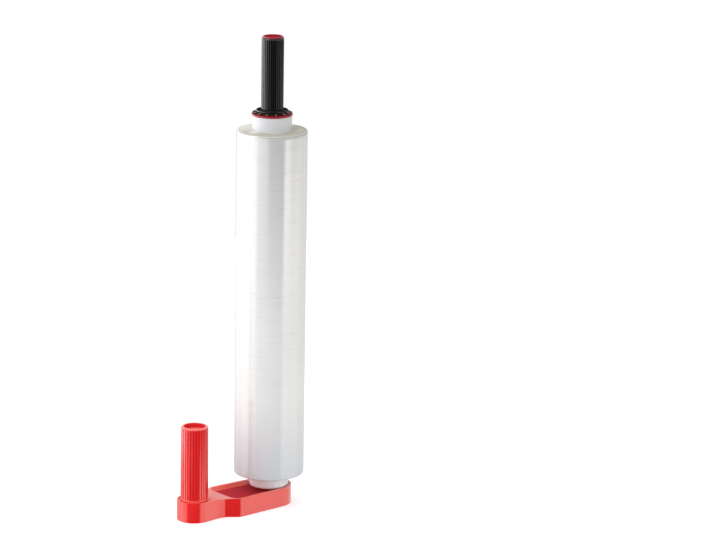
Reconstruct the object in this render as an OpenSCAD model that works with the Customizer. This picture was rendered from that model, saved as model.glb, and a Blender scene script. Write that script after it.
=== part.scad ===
// A roll of stretch film standing upright in its hand dispenser.
// The roll turns about the Z axis, the floor is z = 0 and the arm with the side grip runs along -X.

/* [Film roll] */
// Width of the film, which is the height of the wound part
film_w = 500; // [400:10:520]
// Outer diameter of the wound film
film_od = 100; // [84:2:120]
// Rounding of the film's two end edges
film_edge_r = 2.5; // [1:0.5:4]
// Number of ridges that the turns form on each end of the film
turn_ridges = 12; // [6:1:16]
// Depth of the grooves between those ridges
ridge_depth = 0.6; // [0.2:0.1:1]

/* [Core] */
// Bore of the paper core
core_id = 50; // [46:1:54]
// Wall of the paper core
core_wall = 3; // [2:0.5:4]
// Length of core that stands out below the film
core_tail = 14.2; // [8:0.2:30]
// Length of core that stands out above the film
core_lead = 20.8; // [12:0.1:30]

/* [Base arm] */
// Height of the arm under the roll
base_h = 27; // [24:1:34]
// Distance from the roll's axis to the side grip's axis
arm_len = 134; // [126:1:160]
// Wall of the moulded arm
base_wall = 3; // [2.5:0.5:4]
// Floor of the tray and top plate over the hollow underside
base_floor = 3; // [2:0.5:4]
// Diameter of the round end under the roll
roll_end_d = 64.8; // [64:0.4:70]
// Diameter of the round end under the side grip
grip_end_d = 49; // [46:1:54]
// Width of the neck where it starts to flare
neck_w = 44; // [42:1:52]
// Greatest width of the arm, at the shoulder
shoulder_w = 70.6; // [68:0.2:80]
// Distance from the side grip's axis to the start of the flare
flare_start = 24; // [20:1:30]
// Length of the flare
flare_len = 26; // [20:1:30]
// Height of the raised lip round the side grip above the rest of the arm
pad_step = 2; // [1.5:0.5:4]
// Depth of the pad inside that lip, on which the side grip stands
pad_depth = 1.4; // [1:0.2:1.4]
// Width of the lip
lip_w = 2; // [1.5:0.5:3]
// Length of the pad, from the side grip's axis to the cross step
pad_len = 26; // [25:1:30]
// Distance from the side grip's axis to the tray's edge
tray_start = 48; // [46:1:54]
// Depth of the shallow tray under the roll
tray_depth = 5.5; // [4:0.5:7]
// Width of the tray's rim
tray_rim = 3; // [2.5:0.5:3.5]
// Rounding of the tray's two corners
tray_corner_r = 12; // [8:1:18]
// Thickness of the stiffening ribs
rib_t = 2; // [1.5:0.5:3]
// Distance between the cross ribs under the arm
rib_pitch = 24; // [18:2:36]
// How far the ribs stay above the floor and above the spigot
rib_lift = 1; // [0.5:0.5:2]

/* [Side grip] */
// Outer diameter of the side grip
side_d = 39; // [34:1:42]
// Length of the side grip
side_len = 108.5; // [90:0.5:130]
// Wall of the side grip
side_wall = 3.2; // [2.6:0.2:4]
// Number of flutes round the side grip
side_flutes = 30; // [20:1:34]
// Depth of the recess in the side grip's top
side_recess = 8; // [4:1:14]
// Diameter of that recess
recess_d = 31; // [26:1:31]
// Height of the plain foot ring
foot_h = 2.5; // [1.5:0.5:4]
// How far the foot ring stands out
foot_out = 0.8; // [0.4:0.2:1.4]
// Height of the spigot that centres the side grip on the arm
spigot_h = 6; // [4:1:10]
// Diameter of the screw that holds the side grip
screw_d = 5; // [4:0.5:6]
// Length of that screw inside the side grip
screw_grip = 26; // [18:1:34]
// Depth of its head's pocket in the arm's underside
screw_pocket = 12; // [8:1:14]
// Width of that pocket beyond the screw's shank, all round
pocket_out = 3.5; // [3:0.5:4]
// Play of the screw's washer in that pocket, all round
pocket_play = 0.5; // [0.3:0.1:0.8]
// Wall of the boss that the screw goes into
boss_wall = 3; // [2.5:0.5:4]
// How far the screw's hole goes on past its end
hole_over = 2; // [1:0.5:4]

/* [Spindle] */
// Outer diameter of the spindle tube
tube_d = 25; // [22:0.5:28]
// Wall of the spindle tube
tube_wall = 1.5; // [1:0.25:2]
// Wall of the socket that holds the tube
socket_wall = 3.5; // [2.5:0.5:4]
// Height of the tube's lower end above the floor
socket_seat = 5; // [4:0.5:7]
// How far the socket's top lies below the arm's rim
socket_drop = 2.8; // [2:0.2:3.4]
// Diameter of the cross pin through socket and tube
pin_d = 5; // [4:0.5:6]
// Height of the cross pin above the tube's lower end
pin_up = 9; // [7:0.5:10]
// How far the cross pin's ends stay inside the socket's face
pin_short = 0.5; // [0.3:0.1:1]
// Length of the plug in the tube's lower end
foot_plug_len = 22; // [18:1:40]
// Thickness of the slide washer that carries the roll
slide_t = 1.5; // [1:0.25:3]
// Diameter of the slide washer
slide_d = 38; // [34:1:42]

/* [Core bushes] */
// Thickness of the lower hub's flange
hub_flange_t = 5; // [3.5:0.5:7]
// Rounding of the lower hub's flange
hub_round = 3; // [1:0.5:3.2]
// How far the lower hub's flange stands out past the core
hub_over = 0.2; // [0:0.1:1]
// Thickness of the red plug's flange
plug_flange_t = 3; // [2.5:0.5:5]
// Diameter of the red plug's flange
plug_flange_d = 58; // [57:0.5:64]
// Rounding of the red plug's flange
plug_round = 1; // [0.5:0.25:1.25]
// How far the tube's upper end stays below the red plug's top
tube_short = 0.5; // [0.3:0.1:1]
// Length of each bush inside the core
bush_len = 30; // [22:1:45]
// Wall of the bushes
bush_wall = 2.5; // [2:0.25:3.5]
// Number of webs between the two tubes of each bush
bush_webs = 6; // [4:1:8]
// How far those webs stop short of the bush's end
web_short = 1; // [0.5:0.5:3]
// Number of ribs on each bush that grip the core
bush_ribs = 8; // [6:1:12]
// How far those ribs stand out
bush_rib_out = 1; // [0.6:0.2:1.6]

/* [Brake] */
// Diameter over the fins of the brake star
star_d = 56.4; // [52:0.4:57.2]
// Thickness of the brake star at its middle
star_t = 1.8; // [1.6:0.1:2.4]
// Thickness of a fin at its tip
star_tip_t = 0.8; // [0.8:0.1:1.2]
// Number of fins
star_fins = 12; // [8:1:16]
// Width of a fin
fin_w = 1.4; // [1:0.2:2.4]
// Angle of the first fin from the arm's line
fin_turn = 4; // [0:1:29]
// Diameter of the star's disc between the fins
star_disc_d = 55; // [48:0.5:56]
// Thickness of that disc
star_disc_t = 0.6; // [0.6:0.1:0.8]
// Diameter of the star's flat middle
star_hub_d = 43; // [43:0.5:46]
// Outer diameter of the friction ring
friction_d = 42; // [36:1:43]
// Inner diameter of the friction ring
friction_bore = 33; // [31:0.5:34]
// Thickness of the friction ring
friction_t = 1; // [0.8:0.1:1.2]
// How far the friction ring stands out of the star
friction_proud = 0.5; // [0.3:0.1:0.8]
// Distance across the flats of the hexagon that keeps the star from turning
neck_af = 14; // [12.5:0.5:15]
// Height of that hexagon above the star
neck_up = 2; // [1:0.5:4]
// Length of the plug in the tube's upper end
head_plug_len = 30; // [20:1:45]
// Gap between the star and the shoulder of that plug
head_gap = 0.2; // [0.1:0.05:0.3]
// Diameter of the brake thread
thread_d = 10; // [8:0.5:10]
// Lead of the brake thread, which is the grip's rise in one turn
thread_lead = 2; // [1.5:0.25:3]
// Wire of the brake spring
spring_wire = 1.6; // [1:0.1:1.8]
// Length of the brake spring with the brake on
spring_len = 22; // [18:1:30]
// Turns of the brake spring
spring_turns = 5; // [4:1:7]
// Thickness of the thrust washer on the spring
thrust_t = 2; // [1.5:0.5:3]
// Height of the stop nut
nut_h = 8; // [5:0.5:10]
// Length of stud above the stop nut
stud_over = 2; // [1:0.5:4]
// Width of the stop nut and the insert across their flats
nut_af = 16; // [15:0.5:17]
// Height of the threaded insert
insert_h = 12; // [8:1:14]

/* [Top grip] */
// Outer diameter of the top grip
top_d = 31.4; // [31:0.2:36]
// Length of the top grip with its collar
top_len = 106.4; // [90:0.2:130]
// Wall of the top grip
top_wall = 3.2; // [2.8:0.2:3.6]
// Number of flutes round the top grip
top_flutes = 32; // [24:1:36]
// Diameter of the dished collar
collar_d = 44.8; // [42:0.4:50]
// Height of the collar's lip
collar_h = 1.9; // [1.6:0.1:4]
// Thickness of the collar
collar_t = 1; // [0.8:0.1:1.4]
// Gap between the collar and the star with the brake on
collar_gap = 0.4; // [0.3:0.1:2]
// Thickness of the web that holds the insert, above the insert
web_over = 2; // [1.5:0.5:4]
// Diameter of the red end cap
cap_d = 29; // [27.6:0.2:29.2]
// Thickness of the end cap's rim
cap_t = 2.4; // [2:0.2:4]
// Depth of the dish in the end cap
cap_dish = 1.4; // [0.6:0.2:1.6]
// Width of the flat edge round that dish
cap_edge = 1; // [0.6:0.2:2]
// Length of the end cap's skirt inside the grip
skirt_h = 8; // [4:1:14]
// Wall of that skirt
skirt_wall = 2; // [1.5:0.25:3]
// Height of the plain rim above the flutes
top_rim_h = 3; // [2:0.5:6]
// Rounding of the top grip's upper edge
top_round = 1; // [0.6:0.2:1.2]

/* [Flutes] */
// Radius of one flute
flute_r = 1; // [0.8:0.1:1.2]
// Depth of one flute
flute_depth = 0.7; // [0.4:0.1:0.8]
// Height of the plain rim above the side grip's flutes
side_rim_h = 4.5; // [3:0.5:8]
// Rounding of the side grip's upper edge
side_round = 2.2; // [0.8:0.2:2.4]

/* [Clearances] */
// Radial clearance between a part that turns and what it turns on
run_clear = 0.05; // [0.02:0.01:0.08]
// Radial clearance of a part that is pressed or glued in place
seat_clear = 0.05; // [0.02:0.01:0.1]
// Clearance between parts that pass each other without touching
pass_clear = 0.4; // [0.3:0.05:0.6]

/* [Hidden] */
$fn = 96;
// How far a cutting shape reaches past a face
cut = 0.1;
// How far webs and ribs reach into the walls that they join
bite = 1;

// Radii
film_r = film_od / 2;
core_ri = core_id / 2;
core_r = core_ri + core_wall;
tube_r = tube_d / 2;
tube_ri = tube_r - tube_wall;
socket_ri = tube_r + seat_clear;
socket_r = socket_ri + socket_wall;
roll_end_r = roll_end_d / 2;
grip_end_r = grip_end_d / 2;
side_r = side_d / 2;
side_ri = side_r - side_wall;
top_r = top_d / 2;
top_ri = top_r - top_wall;
pin_r = pin_d / 2;
thread_r = thread_d / 2;
screw_r = screw_d / 2;
neck_r = neck_af / 2 / cos(30);
nut_r = nut_af / 2 / cos(30);
spring_r = top_ri - pass_clear - spring_wire / 2;
pocket_r = screw_r + pocket_out;
washer_t = screw_d / 5;

// Heights of the stack on the spindle, from the floor up
socket_top = base_h - socket_drop;
hub_z = socket_top + slide_t;
core_z = hub_z + hub_flange_t;
film_z = core_z + core_tail;
film_top = film_z + film_w;
core_top = film_top + core_lead;
core_len = core_top - core_z;
plug_top = core_top + plug_flange_t;
star_z = plug_top + friction_proud;
star_top = star_z + star_t;
tube_top = plug_top - tube_short;
collar_z = star_top + collar_gap;
grip_top = collar_z + top_len;
thrust_z = star_top + spring_len;
web_z = thrust_z + thrust_t;
web_top = web_z + insert_h + web_over;
stop_z = web_top + thread_lead + pass_clear / 2;
stud_top = stop_z + nut_h + stud_over;

// Heights of the small end, where the side grip stands
lip_top = base_h + pad_step;
pad_top = lip_top - pad_depth;

// Half width of the arm at a distance s from the side grip's axis
function blend(t) = (1 - cos(180 * t)) / 2;
function lerp(a, b, t) = a + (b - a) * t;
function arm_half(s) =
    s < flare_start ? lerp(grip_end_r, neck_w / 2, s / flare_start)
    : s < flare_start + flare_len ? lerp(neck_w, shoulder_w, blend((s - flare_start) / flare_len)) / 2
    : lerp(shoulder_w / 2, roll_end_r, (s - flare_start - flare_len) / (arm_len - flare_start - flare_len));

// Half width of the tray, with its rounded corners
function tray_half(s) =
    let (inset = max(0, tray_corner_r - (s - tray_start)))
    arm_half(s) - tray_rim - tray_corner_r + sqrt(max(0, pow(tray_corner_r, 2) - pow(inset, 2)));

// Closed outline that is mirrored about the arm's centre line
function mirrored(half) = concat(half, [for (i = [len(half) - 1:-1:0]) [half[i][0], -half[i][1]]]);

function stations(from, to, count) = [for (i = [0:count]) lerp(from, to, i / count)];

module ring(r_out, r_in, h) {
    difference() {
        cylinder(r = r_out, h = h);
        translate([0, 0, -cut]) cylinder(r = r_in, h = h + 2 * cut);
    }
}

// Plan of the arm in the frame of the roll's axis, with its edge moved inwards by a distance
module arm_plan(inset = 0) {
    steps = concat(stations(0, flare_start, 2), stations(flare_start, flare_start + flare_len, 14), arm_len);
    polygon(mirrored([for (s = steps) [s - arm_len, arm_half(s) - inset]]));
    circle(r = roll_end_r - inset);
    translate([-arm_len, 0]) circle(r = grip_end_r - inset);
}

module tray_outline() {
    corner = stations(tray_start, tray_start + tray_corner_r, 10);
    flank = [tray_start + tray_corner_r, arm_len];
    polygon(mirrored([for (s = concat(corner, flank)) [s - arm_len, tray_half(s)]]));
    circle(r = roll_end_r - tray_rim);
}

// The stretch of the plan from the small end up to a distance from the side grip's axis
module up_to(reach) {
    intersection() {
        children();
        translate([-arm_len - grip_end_r - cut, -shoulder_w])
            square([grip_end_r + reach + cut, 2 * shoulder_w]);
    }
}

// Column whose section is a circle with round flutes cut into it
module fluted_column(r, flutes, h) {
    linear_extrude(h)
        difference() {
            circle(r = r);
            for (i = [0:flutes - 1])
                rotate(i * 360 / flutes)
                    translate([r + flute_r - flute_depth, 0]) circle(r = flute_r, $fn = 16);
        }
}

// Plain rim with a rounded upper edge that closes a fluted column
module rounded_rim(r, h, round_r) {
    rotate_extrude()
        union() {
            square([r - round_r, h]);
            square([r, h - round_r]);
            translate([r - round_r, h - round_r]) circle(r = round_r, $fn = 32);
        }
}

// Plan of the ribs under the arm: one along it, cross ribs, and spokes round the socket and the screw boss
module rib_plan() {
    first_rib = pad_len + rib_pitch / 3;
    intersection() {
        arm_plan(base_wall / 2);
        union() {
            translate([-arm_len, -rib_t / 2]) square([arm_len, rib_t]);
            for (s = [first_rib:rib_pitch:arm_len - socket_r])
                translate([s - arm_len, -shoulder_w / 2]) square([rib_t, shoulder_w]);
            for (a = [-60:30:60])
                rotate(a) translate([0, -rib_t / 2]) square([roll_end_r, rib_t]);
            for (a = [60:60:300])
                translate([-arm_len, 0]) rotate(a) translate([0, -rib_t / 2]) square([grip_end_r, rib_t]);
        }
    }
}

// Moulded shell, open underneath: the tray's floor and the pad close it on top
module arm_shell() {
    tray_floor = base_h - tray_depth;
    difference() {
        union() {
            linear_extrude(base_h) arm_plan();
            linear_extrude(lip_top) up_to(pad_len) arm_plan();
        }
        translate([0, 0, pad_top]) linear_extrude(lip_top) up_to(pad_len + cut) arm_plan(lip_w);
        translate([0, 0, tray_floor]) linear_extrude(base_h) tray_outline();
        translate([0, 0, -cut]) linear_extrude(tray_floor - base_floor + cut) arm_plan(base_wall);
        translate([0, 0, -cut])
            linear_extrude(base_h - base_floor + cut) up_to(tray_start - base_wall) arm_plan(base_wall);
    }
}

module base_arm() {
    boss_r = pocket_r + base_wall;
    spigot_r = side_ri - 2 * seat_clear;
    rib_h = base_h - tray_depth - base_floor / 2 - rib_lift;
    color("#e4282a")
    difference() {
        union() {
            arm_shell();
            cylinder(r = socket_r, h = socket_top);
            translate([-arm_len, 0, 0]) cylinder(r = boss_r, h = base_h - base_floor / 2);
            translate([0, 0, rib_lift]) linear_extrude(rib_h) rib_plan();
            translate([-arm_len, 0, pad_top - cut])
                ring(spigot_r, spigot_r - base_wall, spigot_h + cut);
        }
        translate([0, 0, socket_seat]) cylinder(r = socket_ri, h = base_h);
        translate([-socket_r - cut, 0, socket_seat + pin_up])
            rotate([0, 90, 0]) cylinder(r = pin_r + seat_clear, h = 2 * socket_r + 2 * cut);
        translate([-arm_len, 0, -cut]) {
            cylinder(r = screw_r + seat_clear, h = lip_top + 2 * cut);
            cylinder(r = pocket_r, h = screw_pocket + cut);
        }
    }
}

module side_grip() {
    boss_r = screw_r + boss_wall;
    hollow = side_len - side_recess - base_floor;
    rib_z = spigot_h + rib_lift;
    color("#e4282a")
    translate([-arm_len, 0, pad_top])
    difference() {
        union() {
            difference() {
                union() {
                    fluted_column(side_r, side_flutes, side_len - side_rim_h);
                    cylinder(r = side_r + foot_out, h = foot_h);
                    translate([0, 0, side_len - side_rim_h])
                        rounded_rim(side_r - flute_depth / 2, side_rim_h, side_round);
                }
                translate([0, 0, -cut]) cylinder(r = side_ri, h = hollow + cut);
                translate([0, 0, side_len - side_recess]) cylinder(r = recess_d / 2, h = side_recess + cut);
            }
            cylinder(r = boss_r, h = hollow + base_floor / 2);
            for (a = [0:90:270])
                rotate(a) translate([boss_r - bite, -rib_t / 2, rib_z])
                    cube([side_ri - boss_r + 2 * bite, rib_t, hollow - rib_z + base_floor / 2]);
        }
        translate([0, 0, -cut]) cylinder(r = screw_r + seat_clear, h = screw_grip + hole_over + cut);
    }
}

module grip_screw() {
    head_r = pocket_r - 2 * pocket_play;
    head_h = screw_d * 0.7;
    color("silver")
    translate([-arm_len, 0, screw_pocket - washer_t - head_h])
    difference() {
        union() {
            cylinder(r = head_r, h = head_h);
            cylinder(r = screw_r, h = head_h + washer_t + pad_top - screw_pocket + screw_grip);
        }
        translate([0, 0, -cut]) cylinder(r = screw_r * 0.7, h = head_h * 0.6, $fn = 6);
    }
}

module grip_washer() {
    color("silver")
    translate([-arm_len, 0, screw_pocket - washer_t])
        ring(pocket_r - pocket_play, screw_r + seat_clear, washer_t);
}

module spindle_tube() {
    color("#b9bcc0")
    difference() {
        translate([0, 0, socket_seat]) ring(tube_r, tube_ri, tube_top - socket_seat);
        pin_hole();
    }
}

// Cross hole for the spindle pin
module pin_hole() {
    translate([-socket_r, 0, socket_seat + pin_up])
        rotate([0, 90, 0]) cylinder(r = pin_r + seat_clear, h = 2 * socket_r);
}

module tube_foot() {
    color("#2a2a2c")
    difference() {
        translate([0, 0, socket_seat]) cylinder(r = tube_ri - seat_clear, h = foot_plug_len);
        pin_hole();
    }
}

module spindle_pin() {
    color("silver")
    translate([-socket_r + pin_short, 0, socket_seat + pin_up])
        rotate([0, 90, 0]) cylinder(r = pin_r, h = 2 * (socket_r - pin_short));
}

module slide_washer() {
    color("ivory")
    translate([0, 0, socket_top]) ring(slide_d / 2, tube_r + seat_clear, slide_t);
}

// Bush for one end of the core: its flange, a bearing tube and an outer sleeve are one turned section,
// with webs between the tubes and ribs outside that grip the core. The flange's inner face is z = 0.
module core_bush(flange_t) {
    sleeve_r = core_ri - seat_clear - bush_rib_out;
    bore_r = tube_r + run_clear;
    inner_r = bore_r + bush_wall;
    low = -flange_t / 2;
    rotate_extrude()
        difference() {
            union() {
                translate([0, -flange_t]) children();
                translate([0, low]) square([inner_r, bush_len - low]);
                translate([sleeve_r - bush_wall, low]) square([bush_wall, bush_len - low]);
            }
            translate([0, -flange_t - cut]) square([bore_r, bush_len + flange_t + 2 * cut]);
        }
    for (i = [0:bush_webs - 1])
        rotate(i * 360 / bush_webs + 180 / bush_ribs) translate([inner_r - bite, -rib_t / 2, low])
            cube([sleeve_r - bush_wall - inner_r + 2 * bite, rib_t, bush_len - low - web_short]);
    for (i = [0:bush_ribs - 1])
        rotate(i * 360 / bush_ribs) translate([sleeve_r - bite, -rib_t / 2, low])
            cube([bush_rib_out + bite - 2 * seat_clear, rib_t, bush_len - low - 2 * web_short]);
}

// Section of a flange whose lower outer edge is rounded
module flange_section(r, h, round_r) {
    intersection() {
        union() {
            square([r - round_r, h]);
            translate([0, round_r]) square([r, h]);
            translate([r - round_r, round_r]) circle(r = round_r, $fn = 48);
        }
        square([2 * r, h]);
    }
}

module lower_hub() {
    color("#eef0f2")
    translate([0, 0, core_z])
        core_bush(hub_flange_t) flange_section(core_r + hub_over, hub_flange_t, hub_round);
}

module core_tube() {
    color("#f4f1ea")
    translate([0, 0, core_z]) ring(core_r, core_ri, core_len);
}

// Section of the wound film: plain outside, with a ridge for each group of turns on both ends.
// The sines make the ridges and the grooves between them differ a little from one to the next.
module film_roll() {
    inner = core_r + seat_clear;
    pitch = (film_r - film_edge_r - inner) / turn_ridges;
    ridges = [for (i = [0:turn_ridges - 1]) each [
        [inner + i * pitch, ridge_depth * (0.6 + 0.4 * sin(i * 137))],
        [inner + (i + 0.55) * pitch, ridge_depth * (0.25 + 0.25 * sin(i * 71))]
    ]];
    corner = [for (a = [0:15:90]) [
        film_r - film_edge_r + film_edge_r * sin(a),
        film_edge_r * (1 - cos(a))
    ]];
    low = concat(ridges, corner);
    high = [for (i = [len(low) - 1:-1:0]) [low[i][0], film_w - low[i][1]]];
    color("#e9edf0")
    translate([0, 0, film_z]) rotate_extrude() polygon(concat(low, high));
}

module core_plug() {
    flange_r = plug_flange_d / 2;
    color("#c81f35")
    translate([0, 0, core_top])
        mirror([0, 0, 1])
            core_bush(plug_flange_t) {
                union() {
                    square([flange_r - plug_round, plug_flange_t]);
                    translate([0, plug_round]) square([flange_r, plug_flange_t - 2 * plug_round]);
                    for (z = [plug_round, plug_flange_t - plug_round])
                        translate([flange_r - plug_round, z]) circle(r = plug_round, $fn = 32);
                }
            }
}

module friction_ring() {
    color("#6b5a48")
    translate([0, 0, plug_top]) ring(friction_d / 2, friction_bore / 2, friction_t);
}

// Plan of the spaces between the fins, outside a radius
module fin_spaces(r) {
    difference() {
        circle(r = star_d);
        circle(r = r);
        for (i = [0:star_fins - 1])
            rotate(fin_turn + i * 360 / star_fins) translate([0, -fin_w / 2]) square([2 * star_d, fin_w]);
    }
}

// Low cone with the spaces between its fins cut out, down to a thin disc and right through past it
module brake_star() {
    seat_depth = friction_t - friction_proud;
    seat_r = friction_d / 2 + seat_clear;
    seat_ri = friction_bore / 2 - seat_clear;
    section = [[0, 0], [star_d / 2, 0], [star_d / 2, star_tip_t], [star_hub_d / 2, star_t], [0, star_t]];
    color("#1d1d1f")
    translate([0, 0, star_z])
    difference() {
        rotate_extrude() polygon(section);
        translate([0, 0, star_disc_t]) linear_extrude(star_t) fin_spaces(star_hub_d / 2);
        translate([0, 0, -cut]) linear_extrude(star_t) fin_spaces(star_disc_d / 2);
        translate([0, 0, -cut]) cylinder(r = neck_r + seat_clear, h = star_t + 2 * cut, $fn = 6);
        translate([0, 0, -cut]) ring(seat_r, seat_ri, seat_depth + cut);
    }
}

// Plug in the tube's upper end: it carries the stud, and its hexagon stops the star from turning
module tube_head() {
    bottom = tube_top - head_plug_len;
    shoulder_t = star_z - tube_top - head_gap;
    neck_top = star_top + neck_up;
    color("#2a2a2c")
    difference() {
        union() {
            translate([0, 0, bottom]) cylinder(r = tube_ri - seat_clear, h = head_plug_len + shoulder_t / 2);
            translate([0, 0, tube_top]) cylinder(r = tube_r - head_gap, h = shoulder_t);
            translate([0, 0, tube_top]) cylinder(r = neck_r, h = neck_top - tube_top, $fn = 6);
        }
        translate([0, 0, bottom - cut]) cylinder(r = thread_r + seat_clear, h = neck_top - bottom + 2 * cut);
    }
}

module thread_stud() {
    bottom = tube_top - head_plug_len;
    edge = thread_d / 20;
    color("silver") {
        translate([0, 0, bottom]) cylinder(r = thread_r, h = stud_top - edge - bottom);
        translate([0, 0, stud_top - edge]) cylinder(r1 = thread_r, r2 = thread_r - edge, h = edge);
    }
}

// Round wire swept along a helix between the star and the thrust washer
module brake_spring() {
    sides = 8;
    per_turn = 16;
    rings = spring_turns * per_turn;
    rise = spring_len - spring_wire;
    points = [
        for (i = [0:rings])
            let (a = 360 * i / per_turn, z = spring_wire / 2 + rise * i / rings)
            for (k = [0:sides - 1])
                let (b = 360 * k / sides, r = spring_r + spring_wire / 2 * cos(b))
                [r * cos(a), r * sin(a), z + spring_wire / 2 * sin(b)]
    ];
    skin = [
        for (i = [0:rings - 1], k = [0:sides - 1])
            let (here = i * sides, next = here + sides, k2 = (k + 1) % sides)
            [here + k, next + k, next + k2, here + k2]
    ];
    first = [for (k = [0:sides - 1]) k];
    last = [for (k = [sides - 1:-1:0]) rings * sides + k];
    color("silver")
    translate([0, 0, star_top]) polyhedron(points, concat(skin, [first, last]), convexity = 10);
}

module thrust_washer() {
    color("silver")
    translate([0, 0, thrust_z]) ring(top_ri - pass_clear, thread_r + run_clear, thrust_t);
}

module thread_insert() {
    color("#c9a64b")
    translate([0, 0, web_z])
    difference() {
        cylinder(r = nut_r, h = insert_h, $fn = 6);
        translate([0, 0, -cut]) cylinder(r = thread_r + run_clear, h = insert_h + 2 * cut);
    }
}

module stop_nut() {
    color("silver")
    translate([0, 0, stop_z])
    difference() {
        cylinder(r = nut_r, h = nut_h, $fn = 6);
        translate([0, 0, -cut]) cylinder(r = thread_r + seat_clear, h = nut_h + 2 * cut);
    }
}

// Dished collar at the foot of the top grip
module collar() {
    lip_r = collar_t / 2;
    rotate_extrude()
        union() {
            square([collar_d / 2 - collar_t, collar_t]);
            translate([collar_d / 2 - collar_t, lip_r]) square([collar_t, collar_h - 2 * lip_r]);
            translate([collar_d / 2 - lip_r, lip_r]) circle(r = lip_r, $fn = 32);
            translate([collar_d / 2 - lip_r, collar_h - lip_r]) circle(r = lip_r, $fn = 32);
        }
}

module top_grip() {
    cap_seat = top_len - cap_t;
    color("#1d1d1f")
    translate([0, 0, collar_z])
    difference() {
        union() {
            fluted_column(top_r, top_flutes, top_len - top_rim_h);
            translate([0, 0, top_len - top_rim_h]) rounded_rim(top_r, top_rim_h, top_round);
            collar();
        }
        translate([0, 0, -cut]) cylinder(r = top_ri, h = web_z - collar_z + cut);
        translate([0, 0, web_z - collar_z - cut]) {
            cylinder(r = nut_r + seat_clear, h = insert_h + cut, $fn = 6);
            cylinder(r = thread_r + pass_clear, h = insert_h + web_over + 2 * cut);
        }
        translate([0, 0, web_top - collar_z]) cylinder(r = top_ri, h = top_len);
        translate([0, 0, cap_seat]) cylinder(r = cap_d / 2 + seat_clear, h = cap_t + cut);
    }
}

// End cap with a dished top and a skirt that is pushed into the grip
module grip_cap() {
    dish_r = cap_d / 2 - cap_edge;
    sphere_r = (pow(dish_r, 2) + pow(cap_dish, 2)) / (2 * cap_dish);
    color("#a5142f")
    translate([0, 0, grip_top - cap_t])
    difference() {
        union() {
            cylinder(r = cap_d / 2, h = cap_t);
            translate([0, 0, -skirt_h]) ring(top_ri - seat_clear, top_ri - skirt_wall, skirt_h + cut);
        }
        translate([0, 0, cap_t - cap_dish + sphere_r]) sphere(r = sphere_r, $fn = 200);
    }
}

base_arm();
side_grip();
grip_screw();
grip_washer();
spindle_tube();
tube_foot();
spindle_pin();
slide_washer();
lower_hub();
core_tube();
film_roll();
core_plug();
friction_ring();
brake_star();
tube_head();
thread_stud();
brake_spring();
thrust_washer();
thread_insert();
stop_nut();
top_grip();
grip_cap();
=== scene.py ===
import math

import bmesh
import bpy
from mathutils import Matrix, Vector, noise


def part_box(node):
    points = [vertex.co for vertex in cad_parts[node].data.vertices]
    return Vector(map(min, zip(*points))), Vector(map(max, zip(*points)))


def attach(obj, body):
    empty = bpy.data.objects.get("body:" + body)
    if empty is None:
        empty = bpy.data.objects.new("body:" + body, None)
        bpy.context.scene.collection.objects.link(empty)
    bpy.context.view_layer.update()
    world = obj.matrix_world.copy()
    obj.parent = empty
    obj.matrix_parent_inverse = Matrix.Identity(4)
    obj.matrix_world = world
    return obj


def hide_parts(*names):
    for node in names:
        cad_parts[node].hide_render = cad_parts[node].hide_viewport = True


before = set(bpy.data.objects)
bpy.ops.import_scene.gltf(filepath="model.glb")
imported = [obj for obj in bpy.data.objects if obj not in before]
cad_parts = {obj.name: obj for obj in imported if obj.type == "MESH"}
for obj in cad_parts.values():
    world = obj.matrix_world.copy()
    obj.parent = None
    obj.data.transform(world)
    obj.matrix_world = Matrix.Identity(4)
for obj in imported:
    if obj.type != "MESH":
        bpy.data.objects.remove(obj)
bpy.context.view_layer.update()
print("frame loaded:", len(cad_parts), "nodes")

mm = 0.001
gripAxis = (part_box("side_grip")[0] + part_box("side_grip")[1]) / 2  # the side grip stands on this axis
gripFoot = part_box("side_grip")[0].z


# A camera that sees the part as the photograph does: long lens, a little above, turned towards the side grip
camera = {
    "azimuth": -40.09,
    "elevation": 14.04,
    "roll": 0.90,
    "distance": 5.2,
    "lens": 184.92,
    "targetSide": 0.12347,
    "targetHeight": 0.3439,
}


def placeCamera():
    azimuth, elevation, roll = (math.radians(camera[k]) for k in ("azimuth", "elevation", "roll"))
    back = Vector((
        math.sin(azimuth) * math.cos(elevation),
        -math.cos(azimuth) * math.cos(elevation),
        math.sin(elevation),
    ))
    level = Vector((0, 0, 1)).cross(back).normalized()
    upright = back.cross(level)
    right = level * math.cos(roll) + upright * math.sin(roll)
    up = upright * math.cos(roll) - level * math.sin(roll)
    target = level * camera["targetSide"] + Vector((0, 0, camera["targetHeight"]))
    place = target + back * camera["distance"]
    data = bpy.data.cameras.new("photoCamera")
    data.lens = camera["lens"]
    data.sensor_width = 36
    data.clip_end = 50
    cam = bpy.data.objects.new("photoCamera", data)
    cam.matrix_world = Matrix((
        (right.x, up.x, back.x, place.x),
        (right.y, up.y, back.y, place.y),
        (right.z, up.z, back.z, place.z),
        (0, 0, 0, 1),
    ))
    bpy.context.scene.collection.objects.link(cam)
    bpy.context.scene.camera = cam


bpy.context.scene.view_settings.view_transform = "Standard"
placeCamera()
print("camera placed")


def linear(hexCode):  # sRGB hex to linear colour
    values = [int(hexCode[i:i + 2], 16) / 255 for i in (0, 2, 4)]
    return tuple(v / 12.92 if v <= 0.04045 else ((v + 0.055) / 1.055) ** 2.4 for v in values) + (1,)


def addNode(tree, kind, inputs=None, **settings):  # a socket as input is linked, anything else is set
    node = tree.nodes.new(kind)
    for key, value in settings.items():
        setattr(node, key, value)
    for key, value in (inputs or {}).items():
        if isinstance(value, bpy.types.NodeSocket):
            tree.links.new(value, node.inputs[key])
        else:
            node.inputs[key].default_value = value
    return node


def newMaterial(name):
    material = bpy.data.materials.new(name)
    material.use_nodes = True
    material.node_tree.nodes.clear()
    return material, material.node_tree


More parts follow.
